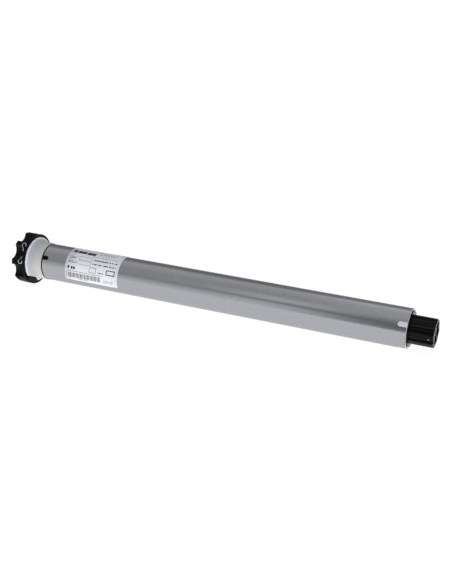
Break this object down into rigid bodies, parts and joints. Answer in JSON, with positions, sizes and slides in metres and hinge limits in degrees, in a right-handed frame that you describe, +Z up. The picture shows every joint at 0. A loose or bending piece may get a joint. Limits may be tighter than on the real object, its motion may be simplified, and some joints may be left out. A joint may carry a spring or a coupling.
{
  "type": "tubular roller shutter motor",
  "caption": "Tubular motor for a roller shutter: black star head, free-turning crown ring, plain steel tube and a fluted drive spigot.",
  "frame": {"origin": "on the motor's axis, at the head's outer mounting face", "axes": "+X along the axis from the head to the drive end, +Z up"},
  "size_m": [0.5225, 0.0632, 0.0632],
  "materials": {
    "tube_steel": "satin zinc-plated steel tube",
    "label_film": "white printed film",
    "black_nylon": "moulded black nylon, slightly glossy",
    "black_gloss": "moulded black plastic, glossy",
    "natural_nylon": "milky natural nylon",
    "white_plastic": "white acetal",
    "yellow_plastic": "yellow moulding",
    "grey_plastic": "grey moulding",
    "contact_brass": "turned brass contacts",
    "bright_steel": "ground steel",
    "dark_steel": "phosphated steel",
    "stator_iron": "varnished laminations",
    "copper": "enamelled copper wire, varnished",
    "die_cast": "zinc or aluminium die casting",
    "sintered": "sintered steel gears",
    "gear_plastic": "filled nylon gears",
    "wire_blue": "insulated wire",
    "can_white": "capacitor can",
    "friction": "friction lining"
  },
  "bodies": {
    "housing": {"motor_tube": "tube_steel", "rating_label": "label_film", "head_star": "black_nylon", "head_neck": "black_nylon", "crown_guard": "black_nylon", "cable_socket": "grey_plastic", "contact_pins": "contact_brass", "limit_housing": "black_nylon", "limit_frame": "white_plastic", "wheel_axle": "bright_steel", "up_switch": "grey_plastic", "down_switch": "grey_plastic", "lead_wires": "wire_blue", "capacitor": "can_white", "capacitor_cradle": "grey_plastic", "stator_core": "stator_iron", "stator_winding": "copper", "front_end_shield": "die_cast", "rear_end_shield": "die_cast", "bearing_outer_rings": "bright_steel", "bearing_balls": "bright_steel", "brake_spring": "bright_steel", "brake_housing": "die_cast", "gearbox_flange": "die_cast", "gear_case": "die_cast", "output_bearing": "white_plastic"},
    "crown": {"crown_ring": "natural_nylon"},
    "limit_drive": {"limit_pinion": "white_plastic"},
    "up_count_a": {"up_wheel_a": "white_plastic"},
    "up_count_b": {"up_wheel_b": "white_plastic"},
    "down_count_a": {"down_wheel_a": "white_plastic"},
    "down_count_b": {"down_wheel_b": "white_plastic"},
    "up_lever_arm": {"up_lever": "bright_steel"},
    "down_lever_arm": {"down_lever": "bright_steel"},
    "up_setting": {"up_adjuster": "white_plastic"},
    "down_setting": {"down_adjuster": "yellow_plastic"},
    "rotor": {"rotor_core": "stator_iron", "rotor_shaft": "bright_steel", "sun_gear_1": "sintered", "brake_disc": "friction", "bearing_inner_rings": "bright_steel"},
    "armature": {"brake_armature": "dark_steel"},
    "stage_1": {"carrier_1": "sintered", "carrier_pins_1": "bright_steel"},
    "stage_2": {"carrier_2": "sintered", "carrier_pins_2": "bright_steel"},
    "output": {"output_carrier": "dark_steel", "carrier_pins_3": "bright_steel", "drive_spigot": "black_gloss", "cross_pin": "bright_steel"},
    "planet_gear_1a": {"planet_1a": "gear_plastic"},
    "planet_gear_1b": {"planet_1b": "gear_plastic"},
    "planet_gear_1c": {"planet_1c": "gear_plastic"},
    "planet_gear_2a": {"planet_2a": "sintered"},
    "planet_gear_2b": {"planet_2b": "sintered"},
    "planet_gear_2c": {"planet_2c": "sintered"},
    "planet_gear_3a": {"planet_3a": "sintered"},
    "planet_gear_3b": {"planet_3b": "sintered"},
    "planet_gear_3c": {"planet_3c": "sintered"}
  },
  "joints": [
    {"name": "crown_turn", "type": "hinge", "parent": "housing", "child": "crown", "pos_m": [0.0174, 0, 0], "axis": [1, 0, 0], "continuous": true},
    {"name": "limit_pinion_turn", "type": "hinge", "parent": "housing", "child": "limit_drive", "pos_m": [0.0305, 0, -0.0147], "axis": [1, 0, 0], "continuous": true},
    {"name": "up_wheel_a_turn", "type": "hinge", "parent": "housing", "child": "up_count_a", "pos_m": [0.0634, 0, -0.0027], "axis": [1, 0, 0], "continuous": true},
    {"name": "up_wheel_b_turn", "type": "hinge", "parent": "housing", "child": "up_count_b", "pos_m": [0.0674, 0, -0.0027], "axis": [1, 0, 0], "continuous": true},
    {"name": "down_wheel_a_turn", "type": "hinge", "parent": "housing", "child": "down_count_a", "pos_m": [0.0814, 0, -0.0027], "axis": [1, 0, 0], "continuous": true},
    {"name": "down_wheel_b_turn", "type": "hinge", "parent": "housing", "child": "down_count_b", "pos_m": [0.0854, 0, -0.0027], "axis": [1, 0, 0], "continuous": true},
    {"name": "up_lever_tilt", "type": "hinge", "parent": "housing", "child": "up_lever_arm", "pos_m": [0.0603, 0, 0.008], "axis": [0, -1, 0], "range_deg": [0, 4.5], "stiffness_Nm_per_rad": 0.02, "springref_deg": -17.19},
    {"name": "down_lever_tilt", "type": "hinge", "parent": "housing", "child": "down_lever_arm", "pos_m": [0.0783, 0, 0.008], "axis": [0, -1, 0], "range_deg": [0, 4.5], "stiffness_Nm_per_rad": 0.02, "springref_deg": -17.19},
    {"name": "up_adjuster_turn", "type": "hinge", "parent": "housing", "child": "up_setting", "pos_m": [0.001, -0.00671, 0.00995], "axis": [1, 0, 0], "continuous": true},
    {"name": "down_adjuster_turn", "type": "hinge", "parent": "housing", "child": "down_setting", "pos_m": [0.001, -0.01178, 0.00229], "axis": [1, 0, 0], "continuous": true},
    {"name": "rotor_turn", "type": "hinge", "parent": "housing", "child": "rotor", "pos_m": [0.2568, 0, 0], "axis": [1, 0, 0], "continuous": true},
    {"name": "brake_release", "type": "slide", "parent": "housing", "child": "armature", "axis": [1, 0, 0], "range_m": [-0.0005, 0], "stiffness_N_per_m": 1500, "springref_m": 0.004, "deforming": ["brake_spring"]},
    {"name": "carrier_1_turn", "type": "hinge", "parent": "housing", "child": "stage_1", "pos_m": [0.38, 0, 0], "axis": [1, 0, 0], "continuous": true},
    {"name": "planet_1a_turn", "type": "hinge", "parent": "stage_1", "child": "planet_gear_1a", "pos_m": [0.38, 0.01155, 0], "axis": [1, 0, 0], "continuous": true},
    {"name": "planet_1b_turn", "type": "hinge", "parent": "stage_1", "child": "planet_gear_1b", "pos_m": [0.38, -0.00577, 0.01], "axis": [1, 0, 0], "continuous": true},
    {"name": "planet_1c_turn", "type": "hinge", "parent": "stage_1", "child": "planet_gear_1c", "pos_m": [0.38, -0.00577, -0.01], "axis": [1, 0, 0], "continuous": true},
    {"name": "carrier_2_turn", "type": "hinge", "parent": "housing", "child": "stage_2", "pos_m": [0.3945, 0, 0], "axis": [1, 0, 0], "continuous": true},
    {"name": "planet_2a_turn", "type": "hinge", "parent": "stage_2", "child": "planet_gear_2a", "pos_m": [0.3945, 0.01155, 0], "axis": [1, 0, 0], "continuous": true},
    {"name": "planet_2b_turn", "type": "hinge", "parent": "stage_2", "child": "planet_gear_2b", "pos_m": [0.3945, -0.00577, 0.01], "axis": [1, 0, 0], "continuous": true},
    {"name": "planet_2c_turn", "type": "hinge", "parent": "stage_2", "child": "planet_gear_2c", "pos_m": [0.3945, -0.00577, -0.01], "axis": [1, 0, 0], "continuous": true},
    {"name": "output_turn", "type": "hinge", "parent": "housing", "child": "output", "pos_m": [0.412, 0, 0], "axis": [1, 0, 0], "continuous": true},
    {"name": "planet_3a_turn", "type": "hinge", "parent": "output", "child": "planet_gear_3a", "pos_m": [0.412, 0.01155, 0], "axis": [1, 0, 0], "continuous": true},
    {"name": "planet_3b_turn", "type": "hinge", "parent": "output", "child": "planet_gear_3b", "pos_m": [0.412, -0.00577, 0.01], "axis": [1, 0, 0], "continuous": true},
    {"name": "planet_3c_turn", "type": "hinge", "parent": "output", "child": "planet_gear_3c", "pos_m": [0.412, -0.00577, -0.01], "axis": [1, 0, 0], "continuous": true}
  ],
  "couplings": [
    {"joint": "limit_pinion_turn", "follows": "crown_turn", "ratio": 4.5},
    {"joint": "up_wheel_a_turn", "follows": "crown_turn", "ratio": -1.5},
    {"joint": "up_wheel_b_turn", "follows": "crown_turn", "ratio": -1.5429},
    {"joint": "down_wheel_a_turn", "follows": "crown_turn", "ratio": -1.5},
    {"joint": "down_wheel_b_turn", "follows": "crown_turn", "ratio": -1.5429},
    {"joint": "carrier_1_turn", "follows": "rotor_turn", "ratio": 0.18182},
    {"joint": "planet_1a_turn", "follows": "rotor_turn", "ratio": -0.46753},
    {"joint": "planet_1b_turn", "follows": "rotor_turn", "ratio": -0.46753},
    {"joint": "planet_1c_turn", "follows": "rotor_turn", "ratio": -0.46753},
    {"joint": "carrier_2_turn", "follows": "rotor_turn", "ratio": 0.033058},
    {"joint": "planet_2a_turn", "follows": "rotor_turn", "ratio": -0.085006},
    {"joint": "planet_2b_turn", "follows": "rotor_turn", "ratio": -0.085006},
    {"joint": "planet_2c_turn", "follows": "rotor_turn", "ratio": -0.085006},
    {"joint": "output_turn", "follows": "rotor_turn", "ratio": 0.0060105},
    {"joint": "planet_3a_turn", "follows": "rotor_turn", "ratio": -0.015456},
    {"joint": "planet_3b_turn", "follows": "rotor_turn", "ratio": -0.015456},
    {"joint": "planet_3c_turn", "follows": "rotor_turn", "ratio": -0.015456}
  ]
}
